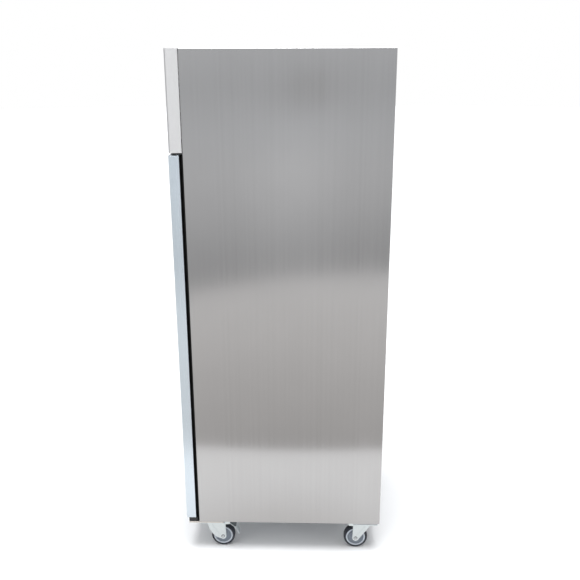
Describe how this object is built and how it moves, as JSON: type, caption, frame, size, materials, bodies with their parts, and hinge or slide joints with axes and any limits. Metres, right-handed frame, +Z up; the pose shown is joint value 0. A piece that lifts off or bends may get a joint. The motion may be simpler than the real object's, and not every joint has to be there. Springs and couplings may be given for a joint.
{
  "type": "reach in refrigerator",
  "caption": "Upright top-mount reach-in refrigerator: tall header over a solid hinged door, brushed steel side panels, wire shelves, and swivel casters with brakes in front.",
  "frame": {"origin": "on the floor, at the centre of the outside box's base", "axes": "+Z up; the door faces -Y and is hinged on the +X side, so +X is to the right of someone facing the door"},
  "size_m": [0.686, 0.823, 2.074],
  "materials": {
    "side_steel": "vertical grain, satin",
    "header_steel": "horizontal grain, satin",
    "door_steel": "vertical grain, satin, cool",
    "cabin_steel": "satin",
    "hinge_steel": "plain satin plate",
    "zinc": "bright zinc plate",
    "galvanised": "spangled zinc sheet",
    "aluminium": "mill finish",
    "copper": "bright copper tube",
    "black_enamel": "gloss enamel",
    "insulation": "rigid foam",
    "seal_rubber": "matte",
    "tread": "matte",
    "hub_plastic": "moulded, matte",
    "grey_plastic": "moulded, satin",
    "black_plastic": "moulded, matte",
    "shelf_wire": "coated wire"
  },
  "bodies": {
    "cabinet": {"side_panel_right": "side_steel", "side_panel_left": "side_steel", "back_panel": "galvanised", "rear_grille": "galvanised", "power_inlet": "black_plastic", "base_pan": "galvanised", "foam_body": "insulation", "liner": "cabin_steel", "breaker_frame": "seal_rubber", "machine_deck": "galvanised", "header_panel": "header_steel", "controller_bezel": "black_plastic", "evaporator_cover": "aluminium", "evaporator_coil": "aluminium", "evaporator_motor": "galvanised", "compressor": "black_enamel", "condenser_coil": "aluminium", "condenser_shroud": "galvanised", "condenser_motor": "black_enamel", "electrical_box": "galvanised", "filter_drier": "copper", "pilaster_front_right": "cabin_steel", "pilaster_front_left": "cabin_steel", "pilaster_rear_right": "cabin_steel", "pilaster_rear_left": "cabin_steel", "hinge_bracket_bottom": "hinge_steel", "hinge_bracket_top": "zinc", "caster_plate_front_right": "zinc", "caster_plate_front_left": "zinc", "caster_plate_rear_right": "zinc", "caster_plate_rear_left": "zinc"},
    "door": {"door_skin": "door_steel", "door_foam": "insulation", "door_liner": "cabin_steel", "door_gasket": "seal_rubber", "handle_cup": "black_plastic"},
    "lock_cylinder": {"lock_cylinder": "zinc"},
    "button_up": {"button_up": "grey_plastic"},
    "button_down": {"button_down": "grey_plastic"},
    "button_set": {"button_set": "grey_plastic"},
    "power_switch": {"power_switch": "black_plastic"},
    "evaporator_fan": {"evaporator_fan": "black_plastic"},
    "condenser_fan": {"condenser_fan": "aluminium"},
    "shelf_1": {"shelf_1": "shelf_wire"},
    "shelf_2": {"shelf_2": "shelf_wire"},
    "shelf_3": {"shelf_3": "shelf_wire"},
    "swivel_front_right": {"caster_fork_front_right": "zinc"},
    "wheel_front_right": {"wheel_hub_front_right": "hub_plastic", "tyre_front_right": "tread"},
    "brake_front_right": {"brake_pedal_front_right": "zinc"},
    "swivel_front_left": {"caster_fork_front_left": "zinc"},
    "wheel_front_left": {"wheel_hub_front_left": "hub_plastic", "tyre_front_left": "tread"},
    "brake_front_left": {"brake_pedal_front_left": "zinc"},
    "swivel_rear_right": {"caster_fork_rear_right": "zinc"},
    "wheel_rear_right": {"wheel_hub_rear_right": "hub_plastic", "tyre_rear_right": "tread"},
    "swivel_rear_left": {"caster_fork_rear_left": "zinc"},
    "wheel_rear_left": {"wheel_hub_rear_left": "hub_plastic", "tyre_rear_left": "tread"}
  },
  "joints": [
    {"name": "door_hinge", "type": "hinge", "parent": "cabinet", "child": "door", "pos_m": [0.325, -0.3915, 0.9], "axis": [0, 0, 1], "range_deg": [0, 120], "stiffness_Nm_per_rad": 3, "springref_deg": -22.92},
    {"name": "lock_turn", "type": "hinge", "parent": "door", "child": "lock_cylinder", "pos_m": [-0.309, -0.4015, 1.18], "axis": [0, 1, 0], "range_deg": [0, 90]},
    {"name": "button_up_press", "type": "slide", "parent": "cabinet", "child": "button_up", "axis": [0, 1, 0], "range_m": [0, 0.0015], "stiffness_N_per_m": 400},
    {"name": "button_down_press", "type": "slide", "parent": "cabinet", "child": "button_down", "axis": [0, 1, 0], "range_m": [0, 0.0015], "stiffness_N_per_m": 400},
    {"name": "button_set_press", "type": "slide", "parent": "cabinet", "child": "button_set", "axis": [0, 1, 0], "range_m": [0, 0.0015], "stiffness_N_per_m": 400},
    {"name": "power_switch_rock", "type": "hinge", "parent": "cabinet", "child": "power_switch", "pos_m": [-0.096, -0.4058, 1.896], "axis": [1, 0, 0], "range_deg": [0, 20]},
    {"name": "evaporator_fan_spin", "type": "hinge", "parent": "cabinet", "child": "evaporator_fan", "pos_m": [0, -0.096, 1.559], "axis": [0, 1, 0], "continuous": true},
    {"name": "condenser_fan_spin", "type": "hinge", "parent": "cabinet", "child": "condenser_fan", "pos_m": [0.13, -0.227, 1.8618], "axis": [0, 1, 0], "continuous": true},
    {"name": "shelf_1_lift", "type": "slide", "parent": "cabinet", "child": "shelf_1", "axis": [0, 0, 1], "range_m": [0, 0.03]},
    {"name": "shelf_2_lift", "type": "slide", "parent": "cabinet", "child": "shelf_2", "axis": [0, 0, 1], "range_m": [0, 0.03]},
    {"name": "shelf_3_lift", "type": "slide", "parent": "cabinet", "child": "shelf_3", "axis": [0, 0, 1], "range_m": [0, 0.03]},
    {"name": "swivel_front_right_turn", "type": "hinge", "parent": "cabinet", "child": "swivel_front_right", "pos_m": [0.292, -0.3025, 0.12], "axis": [0, 0, 1], "continuous": true},
    {"name": "wheel_front_right_roll", "type": "hinge", "parent": "swivel_front_right", "child": "wheel_front_right", "pos_m": [0.292, -0.2625, 0.051], "axis": [1, 0, 0], "continuous": true},
    {"name": "brake_front_right_press", "type": "hinge", "parent": "swivel_front_right", "child": "brake_front_right", "pos_m": [0.292, -0.2445, 0.1165], "axis": [-1, 0, 0], "range_deg": [0, 14]},
    {"name": "swivel_front_left_turn", "type": "hinge", "parent": "cabinet", "child": "swivel_front_left", "pos_m": [-0.292, -0.3025, 0.12], "axis": [0, 0, 1], "continuous": true},
    {"name": "wheel_front_left_roll", "type": "hinge", "parent": "swivel_front_left", "child": "wheel_front_left", "pos_m": [-0.292, -0.2625, 0.051], "axis": [1, 0, 0], "continuous": true},
    {"name": "brake_front_left_press", "type": "hinge", "parent": "swivel_front_left", "child": "brake_front_left", "pos_m": [-0.292, -0.2445, 0.1165], "axis": [-1, 0, 0], "range_deg": [0, 14]},
    {"name": "swivel_rear_right_turn", "type": "hinge", "parent": "cabinet", "child": "swivel_rear_right", "pos_m": [0.292, 0.3535, 0.12], "axis": [0, 0, 1], "continuous": true},
    {"name": "wheel_rear_right_roll", "type": "hinge", "parent": "swivel_rear_right", "child": "wheel_rear_right", "pos_m": [0.292, 0.3135, 0.051], "axis": [1, 0, 0], "continuous": true},
    {"name": "swivel_rear_left_turn", "type": "hinge", "parent": "cabinet", "child": "swivel_rear_left", "pos_m": [-0.292, 0.3535, 0.12], "axis": [0, 0, 1], "continuous": true},
    {"name": "wheel_rear_left_roll", "type": "hinge", "parent": "swivel_rear_left", "child": "wheel_rear_left", "pos_m": [-0.292, 0.3135, 0.051], "axis": [1, 0, 0], "continuous": true}
  ]
}
